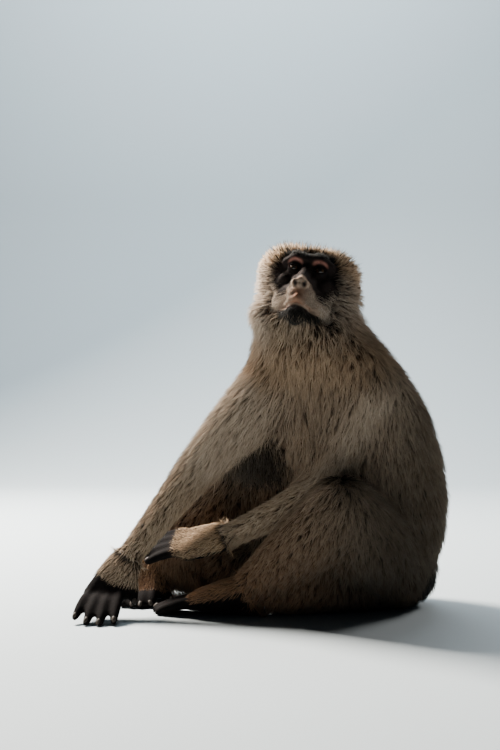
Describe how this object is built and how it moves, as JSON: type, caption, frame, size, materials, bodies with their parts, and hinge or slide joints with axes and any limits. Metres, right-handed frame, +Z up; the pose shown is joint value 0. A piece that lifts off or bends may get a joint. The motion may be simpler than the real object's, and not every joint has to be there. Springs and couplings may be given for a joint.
{
  "type": "barbary macaque, sitting",
  "caption": "Life-size still model of an adult tailless macaque sitting with one knee raised, one arm propped on the floor and the muzzle lifted.",
  "frame": {"origin": "centre of the bounding box, on the floor it sits on", "axes": "+Z up, the trunk faces -Y and the animal's left side is +X"},
  "size_m": [0.472, 0.4824, 0.5445],
  "materials": {
    "coat": "soft long fur, matt, with dark tips",
    "skin": "bare skin, matt, finely creased",
    "eye": "wet gloss",
    "nail": "smooth horn"
  },
  "bodies": {
    "root": {"head": "coat", "neck": "coat", "chest": "coat", "abdomen": "coat", "pelvis": "coat", "upper_arm_l": "coat", "upper_arm_r": "coat", "forearm_l": "coat", "forearm_r": "coat", "hand_l": "skin", "hand_r": "skin", "thigh_l": "coat", "thigh_r": "coat", "shank_l": "coat", "shank_r": "coat", "foot_l": "skin", "foot_r": "skin", "ear_l": "skin", "ear_r": "skin", "eye_l": "eye", "eye_r": "eye"}
  },
  "joints": []
}
